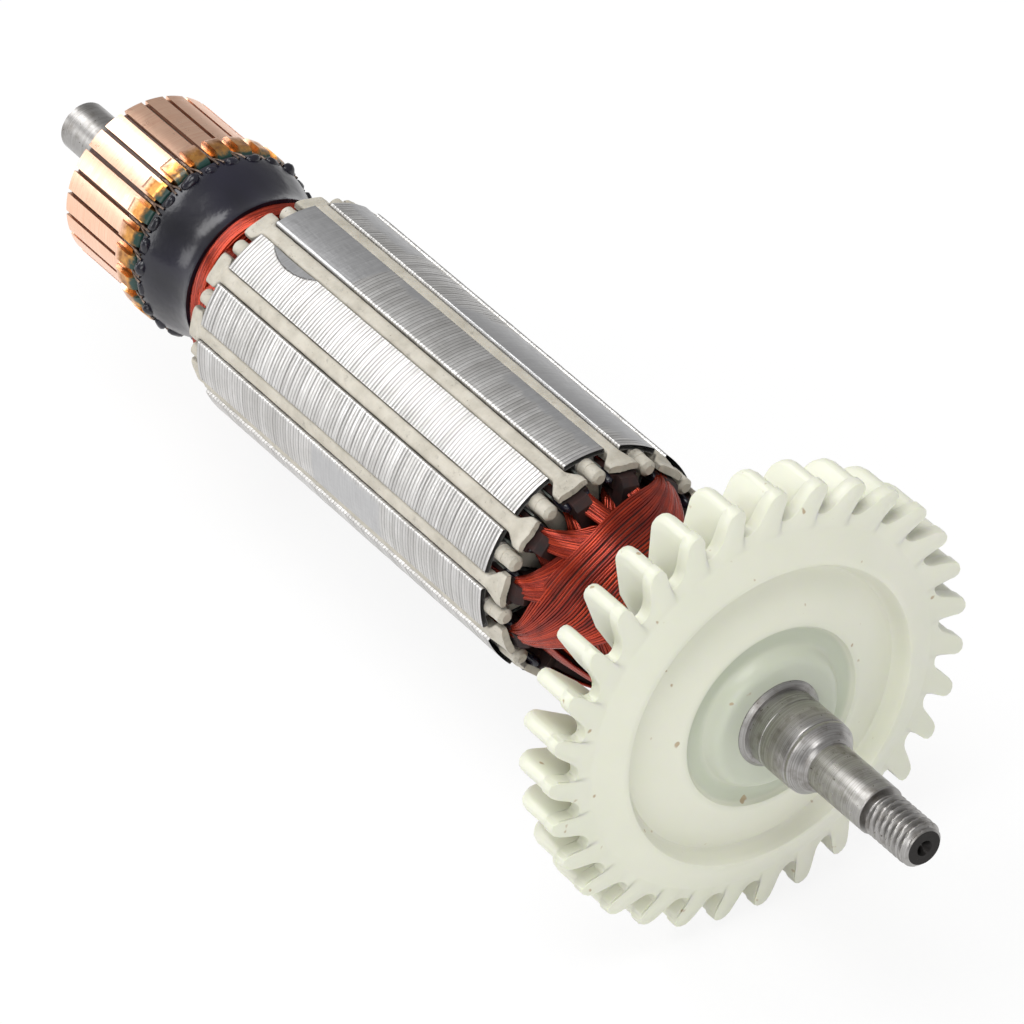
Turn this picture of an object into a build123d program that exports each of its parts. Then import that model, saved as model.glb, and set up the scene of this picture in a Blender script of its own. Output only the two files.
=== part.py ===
from build123d import *
from math import asin, cos, pi, radians, sin
import os

# Armature of a hand-held angle grinder.  X is the axis of the rotor and points to the threaded
# end; X = 0 is the shoulder that the front bearing rests on.  Z points up, through a core tooth.

# Lengths along the axis
core_length = 63.0
fan_room = 39.9  # from the core's front face to the front bearing shoulder
commutator_gap = 21.0  # from the core's rear face to the front end of the commutator bars
bar_length = 15.6
journal_length = 16.0
bearing_seat_length = 8.0
gear_seat_end = 19.6
thread_end = 28.2

# Shaft
journal_radius = 3.5
commutator_seat_radius = 4.2
shaft_radius = 5.3
bearing_seat_radius = 5.0
gear_seat_radius = 3.25
thread_radius = 3.0
relief_radius = 2.65
relief_width = 0.7
shoulder_width = 1.3
shoulder_foot_radius = 3.9
end_chamfer = 0.7
centre_radius = 1.0
centre_pilot_radius = 0.4
centre_depth = 1.6
centre_angle = 60
sleeve_wall = 0.85
sleeve_rear_overhang = 13.0
sleeve_front_overhang = 19.0

# Laminated core
core_radius = 16.0
slot_count = 12
tooth_width = 2.7
slot_bottom_radius = 9.0
slot_opening = 2.32
lip_radius = 15.2  # underside of the tooth tips at the opening
wedge_seat_radius = 14.2
balance_cut_radius = 27.0
balance_cut_height = 14.98  # of its bottom over the axis
balance_cut_turn = 95.0
balance_cut_place = 7.75  # from the rear face
balance_cut_start = 3.0
balance_cut_width = 4.5

# Slot insulation
liner_wall = 0.25
liner_front_overhang = 1.2
liner_rear_overhang = 0.4
wedge_width = 4.5
wedge_thickness = 0.8
wedge_rounding = 0.2
wedge_rib_width = 2.1
wedge_rib_recess = 0.25
wedge_rear_overhang = 2.9
wedge_front_overhang = 3.1
spider_thickness = 1.2
spider_ring_width = 2.3
spoke_width = 2.2
finger_radius = 1.05
finger_place = 14.4
finger_chamfer = 0.42
front_finger_length = 3.4
rear_finger_length = 2.7

# Winding
coil_count = 12
coil_span = 5
first_coil_slot = 2
bottom_side_radius = 10.45
top_side_radius = 12.9
side_height = 2.15
side_clearance = 0.15
side_rounding = 0.7
leg_width = 2.4
leg_chamfer = 0.8
layer_gap = 0.08
ribbon_turn = 45.0  # from its slot, where a coil head reaches its full length

# Coil heads, measured from the core's faces: near edge at mid-span, and the outline
front_leg_thickness = 1.8
front_near_edge = 8.5
front_shoulder_place = 5.2
front_shoulder_radius = 12.8
front_waist_place = 12.0
front_waist_radius = 11.9
front_nose_place = 19.0
front_nose_radius = 9.6
rear_leg_thickness = 1.3
rear_near_edge = 6.6
rear_shoulder_place = 5.7
rear_shoulder_radius = 12.3
rear_waist_place = 9.4
rear_waist_radius = 10.8
rear_nose_place = 12.3
rear_nose_radius = 9.1

# Commutator
bar_count = 24
commutator_turn = 5.5  # from a tooth to the middle of the nearest bar
commutator_radius = 12.32
bar_depth = 2.7
bar_gap = 0.6
slot_undercut = 0.6
hook_width = 1.9
hook_rise = 0.93
hook_reach = 1.5
hook_foot = 3.0
hook_eye_radius = 0.36
hook_eye_place = 0.6  # in front of the bar
moulding_rear_set_back = 0.5
moulding_front_overhang = 2.2

# Leads and resin over them
lead_radius = 0.32
lead_hook_radius = 11.75
lead_coil_radius = 9.35
lead_length = 6.9
lead_gap = 0.15
resin_rear_radius = 12.75
resin_neck_radius = 11.15
resin_mouth_radius = 11.5
resin_wall = 0.55
resin_length = 9.7
resin_bulge_place = 1.2
resin_neck_place = 7.0

# Fan and its steel bush
blade_count = 31
blade_turn = 1.6  # from a tooth to the tip of the nearest blade
blade_tip_radius = 30.75
blade_lean = 21.0
blade_thickness = 2.5
blade_tip_rounding = 1.05
blade_inner_radius = 17.0
blade_depth = 8.2
blade_corner = 1.5
blade_inner_depth = 4.2
blade_front = -4.2
root_fillet_share = 0.31  # of the width of the valley between two blades
valley_depth = 4.45
plate_thickness = 2.0
plate_rim_depth = 2.8  # of the plate under the dish rim
dish_rim_radius = 20.8
dish_rim_rise = 2.3
dish_floor_radius = 19.6
dish_depth = 2.5
lip_crest_radius = 12.4
lip_foot_radius = 13.7
lip_foot_rise = 2.0
lip_rise = 0.6
recess_radius = 12.1
recess_depth = 0.95
boss_foot_radius = 9.9
boss_radius = 9.1
boss_front = -0.6
boss_bevel = 0.6
hub_radius = 9.4
hub_length = 13.5
bush_radius = 5.9
bush_length = 17.0
bush_chamfer = 0.5

# Clearance of pieces that fit together, and how far a cutting profile runs past what it cuts
fit_gap = 0.05
cut_margin = 1.0

# Places that follow from the lengths
core_front = -fan_room
core_rear = core_front - core_length
bar_front = core_rear - commutator_gap
bar_rear = bar_front - bar_length
shaft_rear = bar_rear - journal_length
sleeve_radius = shaft_radius + sleeve_wall
slot_pitch = 360 / slot_count
bar_pitch = 360 / bar_count
half_span = coil_span * slot_pitch / 2
pair_count = coil_count // 2
plate_radius = blade_tip_radius - valley_depth
root_fillet = root_fillet_share * (2 * pi * plate_radius / blade_count - blade_thickness)

os.makedirs("parts", exist_ok=True)


def cross_plane(x, degrees_round=0):
    """Plane square to the axis; its own x runs outwards at the given angle round the axis."""
    turn = radians(degrees_round)
    return Plane(origin=(x, 0, 0), x_dir=(0, cos(turn), sin(turn)), z_dir=(1, 0, 0))


def length_plane(degrees_round):
    """Plane through the axis; its own x runs along the axis and its own y outwards."""
    turn = radians(degrees_round)
    return Plane(origin=(0, 0, 0), x_dir=(1, 0, 0), z_dir=(0, -sin(turn), cos(turn)))


def place(x, radius, degrees_round):
    """Point at a place on the axis, a radius and an angle round the axis."""
    turn = radians(degrees_round)
    return Vector(x, radius * cos(turn), radius * sin(turn))


def slot_angle(slot):
    """Angle of a slot's middle; the teeth lie at multiples of the slot pitch."""
    return slot_pitch * (slot + 0.5)


def write(part, name):
    """Name one piece and write it to its own file."""
    part.label = name
    export_step(part, f"parts/{name}.step")


# Shaft, turned from one steel bar
with BuildPart() as shaft:
    with BuildSketch(Plane.XZ):
        with BuildLine():
            Polyline(
                (shaft_rear, 0),
                (shaft_rear, journal_radius - end_chamfer),
                (shaft_rear + end_chamfer, journal_radius),
                (bar_rear, journal_radius),
                (bar_rear, commutator_seat_radius),
                (bar_front, commutator_seat_radius),
                (bar_front, shaft_radius),
                (0, shaft_radius),
                (0, bearing_seat_radius),
                (bearing_seat_length, bearing_seat_radius),
                (bearing_seat_length + shoulder_width, shoulder_foot_radius),
                (bearing_seat_length + shoulder_width, gear_seat_radius),
                (gear_seat_end, gear_seat_radius),
                (gear_seat_end, relief_radius),
                (gear_seat_end + relief_width, relief_radius),
                (gear_seat_end + relief_width, thread_radius),
                (thread_end - end_chamfer, thread_radius),
                (thread_end, thread_radius - end_chamfer),
                (thread_end, 0),
                close=True,
            )
        make_face()
    revolve(axis=Axis.X)
    with Locations(
        Plane(origin=(thread_end, 0, 0), z_dir=(1, 0, 0)),
        Plane(origin=(shaft_rear, 0, 0), z_dir=(-1, 0, 0)),
    ):
        CounterSinkHole(centre_pilot_radius, centre_radius, centre_depth, centre_angle)
write(shaft.part, "shaft")

# Insulating sleeve between the shaft and the core
with BuildPart() as sleeve:
    with BuildSketch(cross_plane(core_rear - sleeve_rear_overhang)):
        Circle(sleeve_radius)
        Circle(shaft_radius, mode=Mode.SUBTRACT)
    extrude(amount=sleeve_rear_overhang + core_length + sleeve_front_overhang)
write(sleeve.part, "shaft_insulation_sleeve")


def slot_half_width(radius):
    """Half of a slot's width between the parallel flanks of two teeth."""
    half_turn = radians(slot_pitch / 2)
    return (radius * sin(half_turn) - tooth_width / 2) / cos(half_turn)


def slot_flanks(inset, top_radius):
    """Points down one flank of a slot, round its foot and up the other, drawn in by an inset."""
    foot = slot_bottom_radius + slot_half_width(slot_bottom_radius)
    wide = slot_half_width(top_radius) - inset
    narrow = slot_half_width(foot) - inset
    bottom = slot_bottom_radius + inset
    return (top_radius, wide), (foot, narrow), (bottom, 0), (foot, -narrow), (top_radius, -wide)


# Section of one slot: a body for the wires, a seat for the wedge and an opening
with BuildSketch() as slot_section:
    top, foot, bottom, other_foot, other_top = slot_flanks(0, lip_radius)
    outside = core_radius + cut_margin
    with BuildLine():
        Polyline(
            foot,
            top,
            (lip_radius, slot_opening / 2),
            (outside, slot_opening / 2),
            (outside, -slot_opening / 2),
            (lip_radius, -slot_opening / 2),
            other_top,
            other_foot,
        )
        ThreePointArc(other_foot, bottom, foot)
    make_face()

# Core, a stack of steel laminations that works as one block; one tooth has a balancing cut
with BuildPart() as core:
    with BuildSketch(cross_plane(core_rear)):
        Circle(core_radius)
        Circle(sleeve_radius, mode=Mode.SUBTRACT)
        with PolarLocations(0, slot_count, start_angle=slot_angle(0)):
            add(slot_section.sketch, mode=Mode.SUBTRACT)
    extrude(amount=core_length)
    with BuildSketch(length_plane(balance_cut_turn).offset(balance_cut_start)):
        with Locations((core_rear + balance_cut_place, balance_cut_height + balance_cut_radius)):
            Circle(balance_cut_radius)
    extrude(amount=balance_cut_width, mode=Mode.SUBTRACT)
write(core.part, "lamination_stack")

# Slot liners, folded from film, one in each slot
with BuildSketch() as liner_section:
    for inset, top_radius, mode in (
        (fit_gap, wedge_seat_radius, Mode.ADD),
        (fit_gap + liner_wall, wedge_seat_radius + liner_wall, Mode.SUBTRACT),
    ):
        top, foot, bottom, other_foot, other_top = slot_flanks(inset, top_radius)
        with BuildLine():
            Polyline(foot, top, other_top, other_foot)
            ThreePointArc(other_foot, bottom, foot)
        make_face(mode=mode)
with BuildPart() as liners:
    with BuildSketch(cross_plane(core_rear - liner_rear_overhang)):
        with PolarLocations(0, slot_count, start_angle=slot_angle(0)):
            add(liner_section.sketch)
    extrude(amount=liner_rear_overhang + core_length + liner_front_overhang)
write(liners.part, "slot_liners")

# Slot wedges, moulded strips that slide in under the tooth tips
for slot in range(slot_count):
    with BuildPart() as wedge:
        rib_foot = wedge_seat_radius + fit_gap + wedge_thickness / 2
        with BuildSketch(cross_plane(core_rear - wedge_rear_overhang, slot_angle(slot))):
            with Locations((rib_foot, 0)):
                RectangleRounded(wedge_thickness, wedge_width, wedge_rounding)
        extrude(amount=core_length + wedge_rear_overhang + wedge_front_overhang)
        rib_height = core_radius - wedge_rib_recess - rib_foot
        with BuildSketch(cross_plane(core_rear, slot_angle(slot))):
            with Locations((rib_foot + rib_height / 2, 0)):
                Rectangle(rib_height, wedge_rib_width)
        extrude(amount=core_length)
    write(wedge.part, f"slot_wedge_{slot + 1:02d}")


def make_spider(name, face, outwards, finger_length):
    """End insulator: a ring round the sleeve, a spoke on each tooth and a finger on each spoke."""
    with BuildPart() as spider:
        with BuildSketch(cross_plane(face)):
            Circle(sleeve_radius + fit_gap + spider_ring_width)
            with PolarLocations(0, slot_count):
                with Locations((finger_place / 2, 0)):
                    Rectangle(finger_place, spoke_width)
                with Locations((finger_place, 0)):
                    Circle(spoke_width / 2)
            Circle(sleeve_radius + fit_gap, mode=Mode.SUBTRACT)
        extrude(amount=outwards * spider_thickness)
        with BuildSketch(cross_plane(face)):
            with PolarLocations(finger_place, slot_count):
                Circle(finger_radius)
        extrude(amount=outwards * finger_length)
        tip = spider.faces().sort_by(Axis.X)[-slot_count:]
        if outwards < 0:
            tip = spider.faces().sort_by(Axis.X)[:slot_count]
        chamfer(tip.edges(), length=finger_chamfer)
    write(spider.part, name)


make_spider("front_end_insulator", core_front, 1, front_finger_length)
make_spider("rear_end_insulator", core_rear, -1, rear_finger_length)


def leg_place(on_top, leg_thickness):
    """Distance from the core's face to the leg that a coil side turns inwards with."""
    first_place = spider_thickness + layer_gap
    return first_place + on_top * (leg_thickness + layer_gap)


def layer_radius(level, outline_radius):
    """Radius of the boundary under one of the coil layers that fill the head to its outline."""
    foot = sleeve_radius + layer_gap
    return foot + (outline_radius - foot) * level / pair_count


def half_head(level, side, turning, end):
    """Ribbon of one coil layer, from the leg at its slot to the middle of the coil's span."""
    angle, _, on_top = side
    face, outwards, leg_thickness, near_edge, outline = end
    near = leg_place(on_top, leg_thickness)
    far = near + leg_thickness
    nose = outline[-1][0]
    inside = layer_radius(level, outline[0][1])
    with BuildPart() as ribbon:
        with BuildSketch(length_plane(angle if turning > 0 else angle - half_span)):
            below = [(face + outwards * x, layer_radius(level, r) + layer_gap) for x, r in outline]
            above = [(face + outwards * x, layer_radius(level + 1, r)) for x, r in outline]
            start = face + outwards * near
            with BuildLine():
                Polyline(
                    (start, below[0][1]), *below, *reversed(above), (start, above[0][1]), close=True
                )
            make_face()
        revolve(axis=Axis.X, revolution_arc=half_span)
        with BuildSketch(length_plane(angle - 90)):
            middle = inside * sin(radians(half_span))
            full = inside * sin(radians(ribbon_turn))
            border = (
                (near, 0),
                (near_edge, middle),
                (near_edge, core_radius),
                (nose + cut_margin, core_radius),
                (nose + cut_margin, full),
                (far, 0),
            )
            with BuildLine():
                Polyline(*[(face + outwards * x, -turning * y) for x, y in border], close=True)
            make_face()
        extrude(amount=core_radius, mode=Mode.INTERSECT)
    return ribbon.part


def side_corners(radius):
    """Corners of one coil side's section, which lies between the two liner walls."""
    low = radius - side_height / 2
    high = radius + side_height / 2
    wall = fit_gap + liner_wall + side_clearance
    low_half = slot_half_width(low) - wall
    high_half = slot_half_width(high) - wall
    return (low, low_half), (high, high_half), (high, -high_half), (low, -low_half)


# Both ends of the winding: face of the core, direction, legs, near edge and outline
front_outline = (
    (front_shoulder_place, front_shoulder_radius),
    (front_waist_place, front_waist_radius),
    (front_nose_place, front_nose_radius),
)
rear_outline = (
    (rear_shoulder_place, rear_shoulder_radius),
    (rear_waist_place, rear_waist_radius),
    (rear_nose_place, rear_nose_radius),
)
ends = (
    (core_front, 1, front_leg_thickness, front_near_edge, front_outline),
    (core_rear, -1, rear_leg_thickness, rear_near_edge, rear_outline),
)

# Coils, wound two at a time on opposite sides; the pair wound first lies lowest.  Each fills
# two slots, and its heads are ribbons that lie over one another in layers
for coil in range(coil_count):
    level = coil % pair_count
    sides = []
    for slot, on_top in (
        (coil + first_coil_slot, level == pair_count - 1),
        (coil + first_coil_slot + coil_span, level > 0),
    ):
        sides.append((slot_angle(slot), top_side_radius if on_top else bottom_side_radius, on_top))
    ribbons = [
        half_head(level, side, turning, end) for side, turning in zip(sides, (1, -1)) for end in ends
    ]
    with BuildPart() as winding:
        for angle, radius, on_top in sides:
            rear_reach = leg_place(on_top, rear_leg_thickness)
            front_reach = leg_place(on_top, front_leg_thickness)
            with BuildSketch(cross_plane(core_rear - rear_reach, angle)):
                Polygon(*side_corners(radius), align=None)
                fillet(vertices().group_by(Axis.X)[0], radius=side_rounding)
            extrude(amount=rear_reach + core_length + front_reach)
            for face, outwards, leg_thickness, near_edge, outline in ends:
                near = leg_place(on_top, leg_thickness)
                far = near + leg_thickness
                top = radius + side_height / 2
                layer_foot = layer_radius(level, outline[0][1]) + layer_gap
                foot = min(layer_foot, radius - side_height / 2)
                corners = (
                    (near, foot),
                    (near, top),
                    (far - leg_chamfer, top),
                    (far, top - leg_chamfer),
                    (far, foot),
                )
                with BuildSketch(length_plane(angle).offset(-leg_width / 2)):
                    with BuildLine():
                        Polyline(*[(face + outwards * x, y) for x, y in corners], close=True)
                    make_face()
                extrude(amount=leg_width)
        for ribbon in ribbons:
            add(ribbon)
    write(winding.part, f"coil_{coil + 1:02d}")


def bar_corner(radius):
    """Corner of a bar's section: half the gap away from the line between two bars."""
    turn = radians(bar_pitch / 2) - asin(bar_gap / 2 / radius)
    return radius * cos(turn), radius * sin(turn)


# Commutator bars of copper, each with a hook that is bent back over its wires
bar_inner_radius = commutator_radius - bar_depth
for bar in range(bar_count):
    turn = commutator_turn + bar * bar_pitch
    with BuildPart() as segment:
        with BuildSketch(cross_plane(bar_rear, turn)):
            inner_x, inner_y = bar_corner(bar_inner_radius)
            outer_x, outer_y = bar_corner(commutator_radius)
            with BuildLine():
                Line((inner_x, -inner_y), (outer_x, -outer_y))
                ThreePointArc((outer_x, -outer_y), (commutator_radius, 0), (outer_x, outer_y))
                Line((outer_x, outer_y), (inner_x, inner_y))
                ThreePointArc((inner_x, inner_y), (bar_inner_radius, 0), (inner_x, -inner_y))
            make_face()
        extrude(amount=bar_length)
        hook_top = commutator_radius + hook_rise
        hook_middle = hook_top - hook_reach
        with BuildSketch(length_plane(turn).offset(-hook_width / 2)):
            with BuildLine():
                ThreePointArc(
                    (bar_front, hook_middle - hook_reach),
                    (bar_front + hook_reach, hook_middle),
                    (bar_front, hook_top),
                )
                Line((bar_front, hook_top), (bar_front - hook_foot + hook_rise, hook_top))
                RadiusArc(
                    (bar_front - hook_foot + hook_rise, hook_top),
                    (bar_front - hook_foot, commutator_radius),
                    -hook_rise,
                )
                Polyline(
                    (bar_front - hook_foot, commutator_radius),
                    (bar_front - hook_foot, hook_middle - hook_reach),
                    (bar_front, hook_middle - hook_reach),
                )
            make_face()
            with Locations((bar_front + hook_eye_place, hook_middle)):
                Circle(hook_eye_radius, mode=Mode.SUBTRACT)
        extrude(amount=hook_width)
    write(segment.part, f"commutator_bar_{bar + 1:02d}")

# Phenolic moulding that holds the bars, with a fin in each gap
with BuildPart() as moulding:
    with BuildSketch(Plane.XZ):
        with BuildLine():
            Polyline(
                (bar_rear + moulding_rear_set_back, commutator_seat_radius),
                (bar_rear + moulding_rear_set_back, bar_inner_radius - fit_gap),
                (bar_front + moulding_front_overhang, bar_inner_radius - fit_gap),
                (bar_front + moulding_front_overhang, shaft_radius),
                (bar_front, shaft_radius),
                (bar_front, commutator_seat_radius),
                close=True,
            )
        make_face()
    revolve(axis=Axis.X)
    fin_foot = bar_inner_radius - bar_gap
    fin_top = commutator_radius - slot_undercut
    with BuildSketch(cross_plane(bar_rear + fit_gap, commutator_turn + bar_pitch / 2)):
        with PolarLocations((fin_foot + fin_top) / 2, bar_count):
            Rectangle(fin_top - fin_foot, bar_gap - 2 * fit_gap)
    extrude(amount=bar_length - fit_gap)
write(moulding.part, "commutator_moulding")

# Resin skin over the leads, open towards the rear winding
resin_rear = bar_front + hook_reach + 2 * lead_gap
resin_front = resin_rear + resin_length
with BuildPart() as resin:
    with BuildSketch(Plane.XZ):
        with BuildLine():
            neck = resin_rear + resin_neck_place
            bulge = resin_rear + resin_bulge_place
            Spline(
                (resin_rear, resin_rear_radius),
                (bulge, resin_rear_radius),
                (neck, resin_neck_radius),
                (resin_front, resin_mouth_radius),
            )
            Line(
                (resin_front, resin_mouth_radius),
                (resin_front, resin_mouth_radius - resin_wall),
            )
            Spline(
                (resin_front, resin_mouth_radius - resin_wall),
                (neck, resin_neck_radius - resin_wall),
                (bulge, resin_rear_radius - resin_wall),
                (resin_rear, resin_rear_radius - resin_wall),
            )
            Line(
                (resin_rear, resin_rear_radius - resin_wall),
                (resin_rear, resin_rear_radius),
            )
        make_face()
    revolve(axis=Axis.X)
write(resin.part, "resin_cone")

# Leads from the rear winding to the hooks
with BuildPart() as leads:
    lead_start = bar_front + hook_reach + lead_gap
    for bar in range(bar_count):
        turn = commutator_turn + bar * bar_pitch
        start = place(lead_start, lead_hook_radius, turn)
        end = place(lead_start + lead_length, lead_coil_radius, turn)
        with BuildSketch(Plane(origin=start, z_dir=end - start)):
            Circle(lead_radius)
        extrude(amount=(end - start).length)
write(leads.part, "coil_leads")

# Fan, moulded in one piece.  Its blades stand on the rear side of a dished plate
dish_rim = blade_front + dish_rim_rise
dish_floor = dish_rim - dish_depth
lip_foot = dish_floor + lip_foot_rise
lip_crest = lip_foot + lip_rise
recess_floor = lip_crest - recess_depth
blade_rear = blade_front - blade_depth
blank_rear = dish_floor - plate_thickness - cut_margin
with BuildPart() as blades:
    with BuildSketch(cross_plane(blade_rear)) as blade_pattern:
        with PolarLocations(0, blade_count, start_angle=blade_turn):
            blade_length = blade_tip_radius - blade_inner_radius
            tip = (blade_tip_radius - blade_tip_rounding, 0)
            with Locations(Location(tip, (0, 0, -blade_lean))):
                with Locations((blade_tip_rounding - blade_length / 2, 0)):
                    Rectangle(blade_length, blade_thickness)
        corners = blade_pattern.vertices().filter_by(
            lambda v: Vector(v.X, v.Y, 0).length > plate_radius
        )
        fillet(corners, radius=blade_tip_rounding)
    extrude(amount=blade_depth)
    with BuildSketch(Plane.XZ):
        with BuildLine():
            Polyline(
                (blade_front, plate_radius - root_fillet),
                (blade_front, blade_tip_radius),
                (blade_rear + blade_corner, blade_tip_radius),
            )
            RadiusArc(
                (blade_rear + blade_corner, blade_tip_radius),
                (blade_rear, blade_tip_radius - blade_corner),
                -blade_corner,
            )
            Polyline(
                (blade_rear, blade_tip_radius - blade_corner),
                (blade_rear, blade_inner_radius + blade_inner_depth),
                (blade_rear + blade_inner_depth, blade_inner_radius),
                (blade_front - root_fillet, blade_inner_radius),
                (blade_front - root_fillet, plate_radius - 2 * root_fillet),
                (blade_front, plate_radius - root_fillet),
            )
        make_face()
    revolve(axis=Axis.X, mode=Mode.INTERSECT)

# The plate's outline has a tooth at each blade and a rounded valley between two of them
with BuildPart() as plate:
    with BuildSketch(cross_plane(blank_rear)) as plate_outline:
        Circle(plate_radius)
        with PolarLocations(0, blade_count, start_angle=blade_turn):
            tooth_length = blade_tip_radius - plate_radius + 2 * root_fillet
            with Locations(Location((blade_tip_radius - blade_tip_rounding, 0), (0, 0, -blade_lean))):
                with Locations((blade_tip_rounding - tooth_length / 2, 0)):
                    Rectangle(tooth_length, blade_thickness)
        corners = plate_outline.vertices()
        tip_limit = (plate_radius + blade_tip_radius) / 2
        tips = corners.filter_by(lambda v: Vector(v.X, v.Y, 0).length > tip_limit)
        fillet(tips, radius=blade_tip_rounding)
        valleys = plate_outline.vertices().filter_by(
            lambda v: abs(Vector(v.X, v.Y, 0).length - plate_radius) < fit_gap
        )
        fillet(valleys, radius=root_fillet)
    extrude(amount=boss_front - blank_rear)
    with BuildSketch(Plane.XZ) as plate_section:
        with BuildLine():
            Polyline(
                (boss_front, 0),
                (boss_front, bush_radius + root_fillet),
                (boss_front - boss_bevel, boss_radius),
                (recess_floor, boss_foot_radius),
                (recess_floor, recess_radius),
                (lip_crest, lip_crest_radius),
                (lip_foot, lip_foot_radius),
                (dish_floor, dish_floor_radius),
                (dish_rim, dish_rim_radius),
                (blade_front, plate_radius),
                (blade_front, blade_tip_radius + cut_margin),
                (blade_front - plate_thickness, blade_tip_radius + cut_margin),
                (blade_front - plate_thickness, plate_radius),
                (dish_rim - plate_rim_depth, dish_rim_radius),
                (dish_floor - plate_thickness, dish_floor_radius),
                (recess_floor - plate_thickness, lip_crest_radius),
                (recess_floor - plate_thickness, 0),
                close=True,
            )
        make_face()
    revolve(axis=Axis.X, mode=Mode.INTERSECT)
with BuildPart() as fan:
    add(blades.part)
    add(plate.part)
    with BuildSketch(cross_plane(boss_front - hub_length)):
        Circle(hub_radius)
    extrude(amount=recess_floor - boss_front + hub_length)
    with BuildSketch(cross_plane(boss_front - hub_length)):
        Circle(bush_radius)
    extrude(amount=hub_length + cut_margin, mode=Mode.SUBTRACT)
write(fan.part, "fan")

# Steel bush that the fan is moulded on, pressed on the shaft; its front face stops the bearing
with BuildPart() as bush:
    with BuildSketch(cross_plane(-bush_length)):
        Circle(bush_radius)
        Circle(shaft_radius, mode=Mode.SUBTRACT)
    extrude(amount=bush_length)
    chamfer(
        bush.edges().filter_by(GeomType.CIRCLE).sort_by(Axis.X)[-2:].sort_by(SortBy.RADIUS)[-1],
        length=bush_chamfer,
    )
write(bush.part, "fan_bush")
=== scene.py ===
import math

import bmesh
import bpy
import numpy as np
from mathutils import Matrix, Vector


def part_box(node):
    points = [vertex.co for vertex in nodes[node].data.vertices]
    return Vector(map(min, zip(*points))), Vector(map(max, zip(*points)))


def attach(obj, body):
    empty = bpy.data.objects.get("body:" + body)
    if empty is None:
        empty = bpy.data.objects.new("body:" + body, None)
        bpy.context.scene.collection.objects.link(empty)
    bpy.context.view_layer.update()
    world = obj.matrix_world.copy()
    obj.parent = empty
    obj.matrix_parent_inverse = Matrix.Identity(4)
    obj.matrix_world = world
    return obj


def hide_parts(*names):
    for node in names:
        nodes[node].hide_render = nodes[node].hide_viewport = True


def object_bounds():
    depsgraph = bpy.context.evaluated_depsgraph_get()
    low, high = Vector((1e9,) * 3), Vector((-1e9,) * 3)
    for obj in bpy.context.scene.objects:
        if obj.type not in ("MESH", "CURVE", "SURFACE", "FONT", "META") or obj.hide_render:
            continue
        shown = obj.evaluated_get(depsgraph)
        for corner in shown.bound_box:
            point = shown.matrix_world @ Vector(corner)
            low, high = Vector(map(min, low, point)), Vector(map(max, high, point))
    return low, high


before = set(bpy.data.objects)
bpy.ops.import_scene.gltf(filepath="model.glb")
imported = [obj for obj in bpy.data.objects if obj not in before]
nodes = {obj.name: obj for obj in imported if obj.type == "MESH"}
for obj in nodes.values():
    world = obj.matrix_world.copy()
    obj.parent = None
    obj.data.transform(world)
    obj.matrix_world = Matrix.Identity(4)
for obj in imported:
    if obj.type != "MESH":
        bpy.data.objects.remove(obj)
cad_low, cad_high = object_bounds()

# Camera.  It stands in front of the threaded end, to its left and above it, and looks along
# the armature with a long lens.  Right, up and view directions are those of the photograph.
camera_place = (0.62678, -0.44327, 0.63512)
camera_right = (0.568885, 0.821520, -0.038441)
camera_up = (-0.490178, 0.376228, 0.786244)
camera_back = (0.660375, -0.428441, 0.616720)
camera_lens = 294.88

camera_data = bpy.data.cameras.new("camera")
camera_data.lens = camera_lens
camera_data.clip_end = 10
camera = bpy.data.objects.new("camera", camera_data)
turn = Matrix((camera_right, camera_up, camera_back)).transposed()
camera.matrix_world = Matrix.Translation(camera_place) @ turn.to_4x4()
bpy.context.scene.collection.objects.link(camera)
bpy.context.scene.camera = camera

# Studio.  A pale floor lies just under the fan, and large soft lamps hang behind on the left,
# above, on the left and in front.  To the camera, and in part to glossy metal, the floor glows
# a plain white; the rest of it is matt paper, which keeps the shadow.
floor_gap = 0.0006
floor_half = 3.0
floor_white = (0.93, 0.93, 0.93, 1.0)
floor_glow = 0.86
mirrored_share = 0.45
sky_color = (1.0, 1.0, 1.0, 1.0)
sky_strength = 0.42
# Place, width, height and power of each lamp.
lamps = {
    "key": ((-0.72, -0.36, 0.80), 0.80, 0.42, 5.3),
    "top": ((0.20, -0.25, 1.05), 0.60, 0.50, 5.5),
    "left": ((-0.72, -0.82, 0.26), 0.50, 0.40, 2.0),
    "front": ((0.95, -0.45, 0.35), 0.60, 0.60, 3.4),
}
lamp_aim = Vector((-0.05, 0, 0))


def add_node(material, kind, links=None, **settings):
    """Put one shader node into a material; a link's value is a socket to join or a plain value."""
    node = material.node_tree.nodes.new(kind)
    for name, value in settings.items():
        setattr(node, name, value)
    for name, value in (links or {}).items():
        socket = node.inputs[name]
        if isinstance(value, bpy.types.NodeSocket):
            material.node_tree.links.new(value, socket)
        else:
            socket.default_value = value
    return node


def reckon(material, operation, *values):
    """Result of one Math node on sockets or plain values."""
    return add_node(
        material, "ShaderNodeMath", dict(enumerate(values)), operation=operation
    ).outputs[0]


def mesh_object(name, points, faces):
    """Turn an array of points and an array of faces, all of one size, into a smooth mesh."""
    mesh = bpy.data.meshes.new(name)
    corners = faces.shape[1]
    mesh.vertices.add(len(points))
    mesh.vertices.foreach_set("co", np.ascontiguousarray(points, dtype=np.float32).ravel())
    mesh.loops.add(faces.size)
    mesh.loops.foreach_set("vertex_index", np.ascontiguousarray(faces, dtype=np.int32).ravel())
    mesh.polygons.add(len(faces))
    mesh.polygons.foreach_set("loop_start", np.arange(0, faces.size, corners, dtype=np.int32))
    mesh.update(calc_edges=True)
    mesh.validate()
    mesh.shade_smooth()
    thing = bpy.data.objects.new(name, mesh)
    bpy.context.scene.collection.objects.link(thing)
    return thing


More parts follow.
